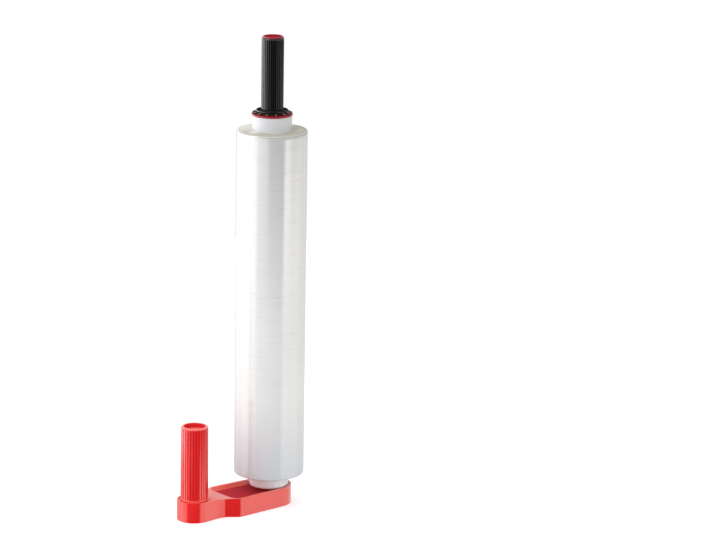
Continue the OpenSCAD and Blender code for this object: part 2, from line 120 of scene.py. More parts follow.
def finishMaterial(tree, shader):
    addNode(tree, "ShaderNodeOutputMaterial", {"Surface": shader.outputs["BSDF"]})


# Moulded plastics. Flow marks shift the colour a little. The gloss is a skin over a duller body: it is worn away in
# the bottoms of flutes and dishes, and faces that look up are duller too. Those bottoms also get a darker colour, as
# painted shade.
plastics = {
    "mouldedRedAbs": {  # bright glossy red: saturated where it faces a dark room, salmon where it mirrors the light
        "colour": "ee1216", "deep": "e40e12", "paintedTopSheen": "ef6455", "hollow": "b80c28", "roughness": 0.24,
        "topRoughness": 0.5, "coat": 1.0, "coatRoughness": 0.07, "ior": 1.45, "flow": 26 * mm, "texture": 0.9 * mm,
        "relief": 0.004 * mm, "paleFrom": 0.1, "paleTo": 0.34, "trayShadeColour": "b41226", "trayBelow": 22 * mm,
    },
    "mouldedCrimsonAbs": {  # the same plastic in a deeper, cooler red
        "colour": "a40a28", "deep": "8e0620", "hollow": "8a0820", "roughness": 0.3, "topRoughness": 0.4, "coat": 0.8,
        "coatRoughness": 0.12, "ior": 1.12, "flow": 12 * mm, "texture": 0.9 * mm, "relief": 0.006 * mm,
    },
    "mouldedBlackAbs": {  # satin black that goes grey at the edges, with a painted deeper black in its hollows as shade
        "colour": "0c0d11", "deep": "090a0d", "hollow": "070607", "roughness": 0.4, "topRoughness": 0.4, "coat": 1.0,
        "coatRoughness": 0.17, "ior": 1.2, "flow": 18 * mm, "texture": 0.7 * mm, "relief": 0.006 * mm,
    },
    "crestHighlightStarAbs": {  # near-black, with a painted dark-maroon shade in the pockets between the fins, where the red flange below would show in shadow, and a painted pale highlight along the fins' crests
        "colour": "12090a", "deep": "0e0506", "hollow": "3c0508", "crestHighlight": "ad8f87", "roughness": 0.4,
        "topRoughness": 0.4, "coat": 0.6, "coatRoughness": 0.15, "ior": 1.2, "flow": 8 * mm, "texture": 0.7 * mm,
        "relief": 0.006 * mm,
    },
    "mouldedWhitePp": {  # slightly waxy cool white with soft highlights
        "colour": "f8fbff", "deep": "f0f5fc", "roughness": 0.22, "topRoughness": 0.22, "coat": 1.0,
        "coatRoughness": 0.06, "ior": 1.49, "flow": 15 * mm, "texture": 1.2 * mm, "relief": 0.006 * mm,
    },
    "mouldedPlugPa": {  # plain dark nylon for the plugs inside
        "colour": "2c2c2e", "deep": "242426", "roughness": 0.5, "topRoughness": 0.5, "coat": 0.0,
        "coatRoughness": 0.3, "ior": 1.53, "flow": 10 * mm, "texture": 0.8 * mm, "relief": 0.02 * mm,
    },
}


def mouldedPlastic(name):
    finish = plastics[name]
    material, tree = newMaterial(name)
    place = addNode(tree, "ShaderNodeTexCoord").outputs["Object"]
    flow = addNode(tree, "ShaderNodeTexNoise", {"Vector": place, "Scale": 1 / finish["flow"], "Detail": 3.0})
    colour = addNode(tree, "ShaderNodeMix", {
        0: flow.outputs["Fac"], 6: linear(finish["deep"]), 7: linear(finish["colour"]),
    }, data_type="RGBA").outputs[2]
    texture = addNode(tree, "ShaderNodeTexNoise", {"Vector": place, "Scale": 1 / finish["texture"], "Detail": 2.0})
    bump = addNode(tree, "ShaderNodeBump", {
        "Height": texture.outputs["Fac"], "Distance": finish["relief"], "Strength": 1.0,
    })
    normal = addNode(tree, "ShaderNodeSeparateXYZ", {
        "Vector": addNode(tree, "ShaderNodeNewGeometry").outputs["True Normal"],
    })
    marks = addNode(tree, "ShaderNodeSeparateXYZ", {
        "Vector": addNode(tree, "ShaderNodeUVMap", uv_map="hollows").outputs[0],
    })
    shadeAndWear = marks.outputs["X"]  # 1 in the bottom of a flute or a dish, 0 on plain faces: painted shade and worn gloss there
    if "hollow" in finish:
        # painted shade: the bottoms of flutes and dishes take the darker hollow colour
        colour = addNode(tree, "ShaderNodeMix", {
            0: shadeAndWear, 6: colour, 7: linear(finish["hollow"]),
        }, data_type="RGBA").outputs[2]
    if "crestHighlight" in finish:
        # painted highlight: the marked crests take the pale crest colour
        colour = addNode(tree, "ShaderNodeMix", {
            0: marks.outputs["Y"], 6: colour, 7: linear(finish["crestHighlight"]),
        }, data_type="RGBA").outputs[2]
    if "paintedTopSheen" in finish:  # painted sheen: faces that lean upwards are painted paler, as the reflection of the light above them
        leaning = addNode(tree, "ShaderNodeMapRange", {
            "Value": normal.outputs["Z"], "From Min": finish["paleFrom"], "From Max": finish["paleTo"],
        })
        colour = addNode(tree, "ShaderNodeMix", {
            0: leaning.outputs[0], 6: colour, 7: linear(finish["paintedTopSheen"]),
        }, data_type="RGBA").outputs[2]
    if "trayShadeColour" in finish:  # painted shade: the tray's floor is painted darker than the rest, as the shade under the roll, and is made matt
        axes = addNode(tree, "ShaderNodeSeparateXYZ", {"Vector": place})
        low = addNode(tree, "ShaderNodeMath", {0: axes.outputs["Z"], 1: finish["trayBelow"]}, operation="LESS_THAN")
        lookingUp = addNode(tree, "ShaderNodeMath", {0: normal.outputs["Z"], 1: 0.9}, operation="GREATER_THAN")
        inTray = addNode(tree, "ShaderNodeMath", {0: low.outputs[0], 1: lookingUp.outputs[0]}, operation="MULTIPLY")
        shadeAndWear = addNode(tree, "ShaderNodeMath", {0: shadeAndWear, 1: inTray.outputs[0]}, operation="MAXIMUM").outputs[0]
        colour = addNode(tree, "ShaderNodeMix", {
            0: inTray.outputs[0], 6: colour, 7: linear(finish["trayShadeColour"]),
        }, data_type="RGBA").outputs[2]
    level = addNode(tree, "ShaderNodeMapRange", {
        "Value": normal.outputs["Z"], "From Min": 0.7, "From Max": 0.95,
        "To Min": finish["roughness"], "To Max": finish["topRoughness"],
    })
    uneven = addNode(tree, "ShaderNodeMath", {
        0: flow.outputs["Fac"], 1: 0.1, 2: level.outputs[0],
    }, operation="MULTIPLY_ADD")
    rough = addNode(tree, "ShaderNodeMath", {0: shadeAndWear, 1: 0.3, 2: uneven.outputs[0]}, operation="MULTIPLY_ADD")
    skin = finish["coat"]
    if "hollow" in finish:
        skin = addNode(tree, "ShaderNodeMapRange", {
            "Value": shadeAndWear, "To Min": finish["coat"], "To Max": 0.0,
        }).outputs[0]
    shader = addNode(tree, "ShaderNodeBsdfPrincipled", {
        "Base Color": colour, "Roughness": rough.outputs[0], "Normal": bump.outputs[0],
        "IOR": finish["ior"], "Coat Weight": skin, "Coat Roughness": finish["coatRoughness"],
    })
    finishMaterial(tree, shader)
    return material


# Stretch film on the roll: hundreds of clear layers mirror the light like pale metal, and the layers below glow
# milky. Faint hoops from the winding run round it.
filmFinish = {
    "colour": "e8e8e8", "lineColour": "a5a39e", "endColour": "e2e0da", "endShade": "b0aca0", "footShade": "c9ced5",
    "mirror": 0.4, "footMirror": 0.05, "mirrorFrom": 260 * mm, "mirrorTo": 550 * mm, "roughness": 0.08,
    "endMirror": 0.08, "endRoughness": 0.42, "shadeFrom": 45 * mm, "shadeTo": 160 * mm,
    "hoopPitch": 2.2 * mm, "streak": 40 * mm, "relief": 0.02 * mm, "rimLine": 543.1 * mm, "rimWidth": 1.2 * mm,
    "endPatch": 22 * mm, "looseEndAngle": -163.1, "looseEndWidth": 0.5 * mm, "looseEndWaves": 9.0,
    "looseEndSway": 0.012, "radius": 50 * mm,
}


def stretchFilm():
    material, tree = newMaterial("woundStretchFilm")
    place = addNode(tree, "ShaderNodeTexCoord").outputs["Object"]
    hoops = addNode(tree, "ShaderNodeMapping", {
        "Vector": place,
        "Scale": (1 / filmFinish["streak"], 1 / filmFinish["streak"], 1 / filmFinish["hoopPitch"]),
    })
    hoopNoise = addNode(tree, "ShaderNodeTexNoise", {
        "Vector": hoops.outputs[0], "Scale": 1.0, "Detail": 3.0, "Roughness": 0.55,
    })
    facing = addNode(tree, "ShaderNodeNewGeometry")
    normal = addNode(tree, "ShaderNodeSeparateXYZ", {"Vector": facing.outputs["True Normal"]})
    upright = addNode(tree, "ShaderNodeMath", {0: normal.outputs["Z"]}, operation="ABSOLUTE")
    isEnd = addNode(tree, "ShaderNodeMapRange", {
        "Value": upright.outputs[0], "From Min": 0.35, "From Max": 0.8, "To Min": 0.0, "To Max": 1.0,
    })
    patches = addNode(tree, "ShaderNodeTexNoise", {
        "Vector": place, "Scale": 1 / filmFinish["endPatch"], "Detail": 2.0,
    })
    across = addNode(tree, "ShaderNodeVectorMath", {
        0: place, 1: (0.1 / filmFinish["radius"], -0.99 / filmFinish["radius"], 0),
    }, operation="DOT_PRODUCT")  # painted shade: the ends are made greyer towards -y, over the random patches
    cloudy = addNode(tree, "ShaderNodeMath", {
        0: patches.outputs["Fac"], 1: 2.4, 2: across.outputs["Value"],
    }, operation="MULTIPLY_ADD")
    patchy = addNode(tree, "ShaderNodeMapRange", {"Value": cloudy.outputs[0], "From Min": 0.5, "From Max": 1.5})
    endColour = addNode(tree, "ShaderNodeMix", {
        0: patchy.outputs[0], 6: linear(filmFinish["endColour"]), 7: linear(filmFinish["endShade"]),
    }, data_type="RGBA")
    height = addNode(tree, "ShaderNodeSeparateXYZ", {"Vector": place})
    around = addNode(tree, "ShaderNodeMath", {0: height.outputs["Y"], 1: height.outputs["X"]}, operation="ARCTAN2")
    sway = addNode(tree, "ShaderNodeMath", {  # the film's loose end isn't quite straight
        0: height.outputs["Z"], 1: filmFinish["looseEndWaves"],
    }, operation="MULTIPLY")
    swaying = addNode(tree, "ShaderNodeMath", {0: sway.outputs[0]}, operation="SINE")
    endAngle = addNode(tree, "ShaderNodeMath", {
        0: swaying.outputs[0], 1: filmFinish["looseEndSway"], 2: math.radians(filmFinish["looseEndAngle"]),
    }, operation="MULTIPLY_ADD")
    fromEnd = addNode(tree, "ShaderNodeMath", {0: around.outputs[0], 1: endAngle.outputs[0]}, operation="SUBTRACT")
    nearEnd = addNode(tree, "ShaderNodeMath", {0: fromEnd.outputs[0]}, operation="ABSOLUTE")
    edgeLine = addNode(tree, "ShaderNodeMapRange", {  # the loose end of the film shows as a thin upright line
        "Value": nearEnd.outputs[0], "From Max": filmFinish["looseEndWidth"] / filmFinish["radius"],
        "To Min": 0.6, "To Max": 0.0,
    })
    hoopLine = addNode(tree, "ShaderNodeMapRange", {
        "Value": hoopNoise.outputs["Fac"], "From Min": 0.56, "From Max": 0.76, "To Max": 0.22,
    })
    fromRim = addNode(tree, "ShaderNodeMath", {
        0: height.outputs["Z"], 1: filmFinish["rimLine"],
    }, operation="SUBTRACT")
    nearRim = addNode(tree, "ShaderNodeMath", {0: fromRim.outputs[0]}, operation="ABSOLUTE")
    rimLine = addNode(tree, "ShaderNodeMapRange", {  # a thin darker line runs round the upper rim
        "Value": nearRim.outputs[0], "From Max": filmFinish["rimWidth"], "To Min": 0.7, "To Max": 0.0,
    })
    rimOrHoop = addNode(tree, "ShaderNodeMath", {
        0: rimLine.outputs[0], 1: hoopLine.outputs[0],
    }, operation="MAXIMUM")
    lines = addNode(tree, "ShaderNodeMath", {0: edgeLine.outputs[0], 1: rimOrHoop.outputs[0]}, operation="MAXIMUM")
    sideColour = addNode(tree, "ShaderNodeMix", {
        0: lines.outputs[0], 6: linear(filmFinish["colour"]), 7: linear(filmFinish["lineColour"]),
    }, data_type="RGBA")
    towardsFoot = addNode(tree, "ShaderNodeMapRange", {  # painted shade: the film is painted greyer towards its lower end
        "Value": height.outputs["Z"], "From Min": filmFinish["shadeFrom"], "From Max": filmFinish["shadeTo"],
        "To Min": 0.85, "To Max": 0.0,
    })
    footed = addNode(tree, "ShaderNodeMix", {
        0: towardsFoot.outputs[0], 6: sideColour.outputs[2], 7: linear(filmFinish["footShade"]),
    }, data_type="RGBA")
    colour = addNode(tree, "ShaderNodeMix", {
        0: isEnd.outputs[0], 6: footed.outputs[2], 7: endColour.outputs[2],
    }, data_type="RGBA")
    sideMirror = addNode(tree, "ShaderNodeMapRange", {
        "Value": height.outputs["Z"], "From Min": filmFinish["mirrorFrom"], "From Max": filmFinish["mirrorTo"],
        "To Min": filmFinish["footMirror"], "To Max": filmFinish["mirror"],
    })
    mirror = addNode(tree, "ShaderNodeMapRange", {
        "Value": isEnd.outputs[0], "To Min": sideMirror.outputs[0], "To Max": filmFinish["endMirror"],
    })
    rough = addNode(tree, "ShaderNodeMapRange", {
        "Value": isEnd.outputs[0], "To Min": filmFinish["roughness"], "To Max": filmFinish["endRoughness"],
    })
    bump = addNode(tree, "ShaderNodeBump", {
        "Height": hoopNoise.outputs["Fac"], "Distance": filmFinish["relief"], "Strength": 0.6,
    })
    shader = addNode(tree, "ShaderNodeBsdfPrincipled", {
        "Base Color": colour.outputs[2], "Metallic": mirror.outputs[0], "Roughness": rough.outputs[0],
        "Normal": bump.outputs[0], "Specular IOR Level": 0.12, "Coat Weight": 0.05, "Coat Roughness": 0.05,
    })
    finishMaterial(tree, shader)
    return material


# White-faced paper board, wound in a spiral: matt, with a fine seam and a little fibre.
paperFinish = {
    "colour": "dadbdf", "shade": "cecfd4", "seam": "c6c6c9", "paintedLowLight": "fbfcff", "paintedLowLightBelow": 100 * mm,
    "seamPitch": 92 * mm, "fibre": 1.4 * mm, "relief": 0.02 * mm,
}


def corePaper():
    material, tree = newMaterial("spiralPaperBoard")
    place = addNode(tree, "ShaderNodeTexCoord").outputs["Object"]
    axes = addNode(tree, "ShaderNodeSeparateXYZ", {"Vector": place})
    angle = addNode(tree, "ShaderNodeMath", {0: axes.outputs["Y"], 1: axes.outputs["X"]}, operation="ARCTAN2")
    turn = addNode(tree, "ShaderNodeMath", {0: angle.outputs[0], 1: 2 * math.pi}, operation="DIVIDE")
    climb = addNode(tree, "ShaderNodeMath", {
        0: axes.outputs["Z"], 1: 1 / paperFinish["seamPitch"], 2: turn.outputs[0],
    }, operation="MULTIPLY_ADD")
    within = addNode(tree, "ShaderNodeMath", {0: climb.outputs[0]}, operation="FRACT")
    seam = addNode(tree, "ShaderNodeMapRange", {
        "Value": within.outputs[0], "From Min": 0.0, "From Max": 0.008, "To Min": 1.0, "To Max": 0.0,
    })
    fibre = addNode(tree, "ShaderNodeTexNoise", {"Vector": place, "Scale": 1 / paperFinish["fibre"], "Detail": 4.0})
    face = addNode(tree, "ShaderNodeMix", {
        0: fibre.outputs["Fac"], 6: linear(paperFinish["shade"]), 7: linear(paperFinish["colour"]),
    }, data_type="RGBA")
    colour = addNode(tree, "ShaderNodeMix", {
        0: seam.outputs[0], 6: face.outputs[2], 7: linear(paperFinish["seam"]),
    }, data_type="RGBA")
    lowEnd = addNode(tree, "ShaderNodeMath", {
        0: axes.outputs["Z"], 1: paperFinish["paintedLowLightBelow"],
    }, operation="LESS_THAN")
    lowEndLit = addNode(tree, "ShaderNodeMix", {  # painted light: the core's lower end is painted paler, to lift it out of the shade under the roll
        0: lowEnd.outputs[0], 6: colour.outputs[2], 7: linear(paperFinish["paintedLowLight"]),
    }, data_type="RGBA")
    bump = addNode(tree, "ShaderNodeBump", {
        "Height": fibre.outputs["Fac"], "Distance": paperFinish["relief"], "Strength": 0.7,
    })
    shader = addNode(tree, "ShaderNodeBsdfPrincipled", {
        "Base Color": lowEndLit.outputs[2], "Roughness": 0.5, "Normal": bump.outputs[0], "IOR": 1.45,
        "Coat Weight": 0.35, "Coat Roughness": 0.15,
    })
    finishMaterial(tree, shader)
    return material


# Metals and the fibre ring inside the dispenser
metals = {
    "zincPlatedSteel": {"colour": "c3c6c9", "roughness": 0.32, "grain": 3 * mm},  # pale grey with soft clouds
    "brightDrawnTube": {"colour": "b9bcc0", "roughness": 0.24, "grain": 8 * mm},  # long drawn streaks
    "turnedBrass": {"colour": "c9a24a", "roughness": 0.22, "grain": 2 * mm},  # warm yellow, fine turning marks
}


def metal(name):
    finish = metals[name]
    material, tree = newMaterial(name)
    place = addNode(tree, "ShaderNodeTexCoord").outputs["Object"]
    grain = addNode(tree, "ShaderNodeTexNoise", {"Vector": place, "Scale": 1 / finish["grain"], "Detail": 4.0})
    rough = addNode(tree, "ShaderNodeMapRange", {
        "Value": grain.outputs["Fac"], "To Min": finish["roughness"] - 0.08, "To Max": finish["roughness"] + 0.1,
    })
    shader = addNode(tree, "ShaderNodeBsdfPrincipled", {
        "Base Color": linear(finish["colour"]), "Metallic": 1.0, "Roughness": rough.outputs[0],
    })
    finishMaterial(tree, shader)
    return material


def fibreRing():
    material, tree = newMaterial("pressedFibre")  # brown and dull, with short fibres
    place = addNode(tree, "ShaderNodeTexCoord").outputs["Object"]
    fibres = addNode(tree, "ShaderNodeTexNoise", {"Vector": place, "Scale": 1 / (0.6 * mm), "Detail": 5.0})
    colour = addNode(tree, "ShaderNodeMix", {
        0: fibres.outputs["Fac"], 6: linear("4a3a2a"), 7: linear("7d6a52"),
    }, data_type="RGBA")
    shader = addNode(tree, "ShaderNodeBsdfPrincipled", {"Base Color": colour.outputs[2], "Roughness": 0.85})
    finishMaterial(tree, shader)
    return material


materials = {name: mouldedPlastic(name) for name in plastics}
materials.update({name: metal(name) for name in metals})
materials["woundStretchFilm"] = stretchFilm()
materials["spiralPaperBoard"] = corePaper()
materials["pressedFibre"] = fibreRing()

slotFinish = {  # which finish each material slot of the part gets
    "red_plastic": "mouldedRedAbs",
    "dark_red_plastic": "mouldedCrimsonAbs",
    "black_plastic": "mouldedBlackAbs",
    "inner_plastic": "mouldedPlugPa",
    "white_plastic": "mouldedWhitePp",
    "core_paper": "spiralPaperBoard",
    "stretch_film": "woundStretchFilm",
    "zinc_steel": "zincPlatedSteel",
    "tube_steel": "brightDrawnTube",
    "insert_brass": "turnedBrass",
    "fibre": "pressedFibre",
}
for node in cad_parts.values():
    for materialSlot in node.material_slots:
        materialSlot.material = materials[slotFinish[materialSlot.material.name.split(".")[0]]]
print("materials made:", len(materials))


def addPiece(name, mesh, body, nodeName, slotName, finishName=None):
    mesh.materials.clear()
    mesh.materials.append(materials[finishName or slotFinish[slotName]])
    piece = bpy.data.objects.new(name, mesh)
    bpy.context.scene.collection.objects.link(piece)
    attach(piece, body)
    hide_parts(nodeName)
    return piece


def filleted(corners, steps=6):  # a closed outline of (radius, height, fillet), with an arc at each filleted corner
    outline = []
    for i, (r, z, fillet) in enumerate(corners):
        here = Vector((r, z))
        if fillet <= 0:
            outline.append(here)
            continue
        toBefore = (Vector(corners[i - 1][:2]) - here).normalized()
        toAfter = (Vector(corners[(i + 1) % len(corners)][:2]) - here).normalized()
        half = toBefore.angle(toAfter) / 2
        centre = here + (toBefore + toAfter).normalized() * (fillet / math.sin(half))
        first = here + toBefore * (fillet / math.tan(half)) - centre
        last = here + toAfter * (fillet / math.tan(half)) - centre
        sweep = math.atan2(first.x * last.y - first.y * last.x, first.dot(last))
        for k in range(steps + 1):
            outline.append(centre + Matrix.Rotation(sweep * k / steps, 2) @ first)
    return outline


def revolve(name, outline, segments, centreX=0.0):  # closed outline of (radius, height) turned about an upright axis
    mesh = bmesh.new()
    rings = []
    for r, z in outline:
        count = 1 if r < 1e-7 else segments
        rings.append([
            mesh.verts.new((
                centreX + r * math.cos(2 * math.pi * k / segments), r * math.sin(2 * math.pi * k / segments), z,
            ))
            for k in range(count)
        ])
    for i, ring in enumerate(rings):
        after = rings[(i + 1) % len(rings)]
        for k in range(segments):
            here = [ring[k % len(ring)], ring[(k + 1) % len(ring)]]
            there = [after[(k + 1) % len(after)], after[k % len(after)]]
            face = list(dict.fromkeys(here + there))
            if len(face) > 2:
                mesh.faces.new(face)
    bmesh.ops.recalc_face_normals(mesh, faces=mesh.faces)
    data = bpy.data.meshes.new(name)
    mesh.to_mesh(data)
    mesh.free()
    data.shade_smooth()
    return data


def finalMesh(holder, name):  # the evaluated mesh of an object with modifiers, without the object
    bpy.context.view_layer.update()
    evaluated = holder.evaluated_get(bpy.context.evaluated_depsgraph_get())
    mesh = bpy.data.meshes.new_from_object(evaluated)
    mesh.name = name
    bpy.data.objects.remove(holder)
    return mesh


def markHollows(mesh, depthAt, crestHighlightAt=None):  # 0 to 1: how deep in a hollow each point is, for painted shade and worn gloss, and how much painted crest highlight it gets
    hollows = mesh.uv_layers.new(name="hollows")
    for loop, item in zip(mesh.loops, hollows.data):
        spot = mesh.vertices[loop.vertex_index].co
        item.uv = (max(0.0, min(1.0, depthAt(spot))), crestHighlightAt(spot) if crestHighlightAt else 0.0)


def sharpEdges(mesh, angle=35):
    holder = bpy.data.objects.new("holder", mesh)
    bpy.context.scene.collection.objects.link(holder)
    mesh.set_sharp_from_angle(angle=math.radians(angle))
    bpy.data.objects.remove(holder)


def newTree(name, numbers):  # an empty geometry tree with named inputs for its sizes
    tree = bpy.data.node_groups.new(name, "GeometryNodeTree")
    tree.interface.new_socket("Geometry", in_out="INPUT", socket_type="NodeSocketGeometry")
    for key, value in numbers.items():
        kind = "NodeSocketInt" if isinstance(value, int) else "NodeSocketFloat"
        tree.interface.new_socket(key, in_out="INPUT", socket_type=kind)
    tree.interface.new_socket("Material", in_out="INPUT", socket_type="NodeSocketMaterial")
    tree.interface.new_socket("Geometry", in_out="OUTPUT", socket_type="NodeSocketGeometry")
    return tree


def runTree(tree, mesh, name, numbers, material):
    holder = bpy.data.objects.new("holder", mesh)
    bpy.context.scene.collection.objects.link(holder)
    modifier = holder.modifiers.new(name, "NODES")
    modifier.node_group = tree
    for item in tree.interface.items_tree:
        if item.in_out == "INPUT" and item.name in numbers:
            modifier[item.identifier] = numbers[item.name]
        if item.in_out == "INPUT" and item.name == "Material":
            modifier[item.identifier] = material
    return finalMesh(holder, name)


# Flutes: a turned column whose wall dips inwards in round-bottomed grooves, all the way round
fluteInputs = {"flutes": 30, "depth": 0.7 * mm, "grooveShare": 0.5, "centreX": 0.0}


def fluteTree():
    tree = newTree("fluteTree", fluteInputs)
    source = addNode(tree, "NodeGroupInput")
    place = addNode(tree, "GeometryNodeInputPosition")
    axes = addNode(tree, "ShaderNodeSeparateXYZ", {0: place.outputs[0]})
    fromAxis = addNode(tree, "ShaderNodeMath", {
        0: axes.outputs["X"], 1: source.outputs["centreX"],
    }, operation="SUBTRACT")
    angle = addNode(tree, "ShaderNodeMath", {0: axes.outputs["Y"], 1: fromAxis.outputs[0]}, operation="ARCTAN2")
    turns = addNode(tree, "ShaderNodeMath", {0: angle.outputs[0], 1: 2 * math.pi}, operation="DIVIDE")
    phase = addNode(tree, "ShaderNodeMath", {
        0: turns.outputs[0], 1: source.outputs["flutes"], 2: 0.5,
    }, operation="MULTIPLY_ADD")
    within = addNode(tree, "ShaderNodeMath", {0: phase.outputs[0]}, operation="FRACT")
    offCentre = addNode(tree, "ShaderNodeMath", {0: within.outputs[0], 1: 0.5}, operation="SUBTRACT")
    share = addNode(tree, "ShaderNodeMath", {
        0: offCentre.outputs[0], 1: source.outputs["grooveShare"],
    }, operation="DIVIDE")
    squared = addNode(tree, "ShaderNodeMath", {0: share.outputs[0], 1: share.outputs[0]}, operation="MULTIPLY")
    squared4 = addNode(tree, "ShaderNodeMath", {0: squared.outputs[0], 1: 4.0}, operation="MULTIPLY")
    under = addNode(tree, "ShaderNodeMath", {0: 1.0, 1: squared4.outputs[0]}, operation="SUBTRACT")
    above = addNode(tree, "ShaderNodeMath", {0: under.outputs[0], 1: 0.0}, operation="MAXIMUM")
    bowl = addNode(tree, "ShaderNodeMath", {0: above.outputs[0], 1: 0.6}, operation="POWER")  # steep sides
    weight = addNode(tree, "GeometryNodeInputNamedAttribute", {"Name": "fluteShare"}, data_type="FLOAT")
    dip = addNode(tree, "ShaderNodeMath", {0: bowl.outputs[0], 1: weight.outputs[0]}, operation="MULTIPLY")
    inward = addNode(tree, "ShaderNodeMath", {0: dip.outputs[0], 1: source.outputs["depth"]}, operation="MULTIPLY")
    flat = addNode(tree, "ShaderNodeCombineXYZ", {"X": fromAxis.outputs[0], "Y": axes.outputs["Y"]})
    outward = addNode(tree, "ShaderNodeVectorMath", {0: flat.outputs[0]}, operation="NORMALIZE")
    back = addNode(tree, "ShaderNodeMath", {0: inward.outputs[0], 1: -1.0}, operation="MULTIPLY")
    offset = addNode(tree, "ShaderNodeVectorMath", {
        0: outward.outputs[0], "Scale": back.outputs[0],
    }, operation="SCALE")
    moved = addNode(tree, "GeometryNodeSetPosition", {
        "Geometry": source.outputs["Geometry"], "Offset": offset.outputs[0],
    })
    real = addNode(tree, "GeometryNodeRealizeInstances", {0: moved.outputs[0]})
    finished = addNode(tree, "GeometryNodeSetMaterial", {
        "Geometry": real.outputs[0], "Material": source.outputs["Material"],
    })
    addNode(tree, "NodeGroupOutput", {0: finished.outputs[0]})
    return tree


flutes = fluteTree()


def flutedPiece(name, outline, sizes, lowFlute, highFlute, radius, finish, dishes):
    # dishes are dull rings with painted shade in it, each as its lowest and highest z and its inner and outer radius
    mesh = revolve(name, outline, sizes["flutes"] * sizes["perFlute"], sizes["centreX"])
    fade = sizes["fade"]
    share = mesh.attributes.new("fluteShare", "FLOAT", "POINT")
    for vertex, item in zip(mesh.vertices, share.data):
        r = math.hypot(vertex.co.x - sizes["centreX"], vertex.co.y)
        inZone = min(vertex.co.z - lowFlute, highFlute - vertex.co.z) / fade
        item.value = max(0.0, min(1.0, inZone)) if r > radius - 0.4 * mm else 0.0
    numbers = {key: sizes[key] for key in fluteInputs}
    mesh = runTree(flutes, mesh, name, numbers, finish)

    def depthAt(spot):
        depth = radius - math.hypot(spot.x - sizes["centreX"], spot.y)
        if any(low < spot.z < high and radius - outer < depth < radius - inner for low, high, inner, outer in dishes):
            return sizes["dishShadeAndWear"]
        inFlute = lowFlute < spot.z < highFlute and 0 < depth < sizes["depth"] * 1.1
        return sizes["fluteShadeAndWear"] * depth / sizes["depth"] if inFlute else 0.0

    markHollows(mesh, depthAt)
    return mesh


def climb(low, high, rows):
    return [low + (high - low) * i / rows for i in range(1, rows)]


sideGrip = {
    "flutes": 30, "perFlute": 16, "depth": 1.3 * mm, "grooveShare": 0.36, "fade": 0.6 * mm,
    "fluteShadeAndWear": 0.4, "dishShadeAndWear": 0.5, "centreX": gripAxis.x,
    "radius": 19.5 * mm, "wall": 3.2 * mm, "footRadius": 20.3 * mm, "footHeight": 2.5 * mm,
    "rimHeight": 1.3 * mm, "rimRound": 2.8 * mm, "recessRadius": 15.2 * mm, "recessDepth": 8 * mm,
    "floorThickness": 3 * mm, "edge": 0.4 * mm,
}


def makeSideGrip():
    low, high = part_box("side_grip")
    s = sideGrip
    zFoot = low.z + s["footHeight"]
    recessFloor = high.z - s["recessDepth"]
    ceiling = recessFloor - s["floorThickness"]
    inner = s["radius"] - s["wall"]
    corners = [
        (inner, low.z, s["edge"]),
        (s["footRadius"], low.z, s["edge"]),
        (s["footRadius"], zFoot, s["edge"]),
        (s["radius"], zFoot + s["edge"], s["edge"] / 2),
    ]
    corners += [(s["radius"], z, 0) for z in (zFoot + 0.7 * mm, zFoot + 1.0 * mm, zFoot + 1.3 * mm)]
    corners += [
        (s["radius"] - 0.1 * mm, high.z, s["rimRound"]),
        (s["recessRadius"], high.z, s["edge"] * 2),
        (s["recessRadius"] - 0.3 * mm, recessFloor, 1.5 * mm),
        (0, recessFloor, 0),
        (0, ceiling, 0),
        (inner, ceiling, s["edge"]),
    ]
    mesh = flutedPiece(
        "sideGrip", filleted(corners), s, zFoot + 0.6 * mm, high.z - s["rimHeight"], s["radius"],
        materials["mouldedRedAbs"], [(recessFloor - 1 * mm, high.z - 0.5 * mm, -1.0, s["recessRadius"] + 0.1 * mm)],
    )
    sharpEdges(mesh, 50)
    return addPiece("sideGrip", mesh, "dispenser", "side_grip", "red_plastic")


topGrip = {
    "flutes": 32, "perFlute": 16, "depth": 1.0 * mm, "grooveShare": 0.46, "fade": 0.6 * mm,
    "fluteShadeAndWear": 1.0, "dishShadeAndWear": 1.0, "centreX": 0.0,
    "radius": 15.7 * mm, "wall": 3.2 * mm, "rimHeight": 4.2 * mm, "rimRound": 1.0 * mm, "shoulder": 3.5 * mm,
    "capStep": 1.5 * mm, "capRadius": 14.55 * mm, "capDepth": 2.4 * mm, "edge": 0.35 * mm,
    "collarFloor": 1.0 * mm, "collarHeight": 2.3 * mm, "collarLip": 0.8 * mm, "insertRadius": 9.3 * mm,
    "studHole": 5.4 * mm, "web": 2 * mm,
}


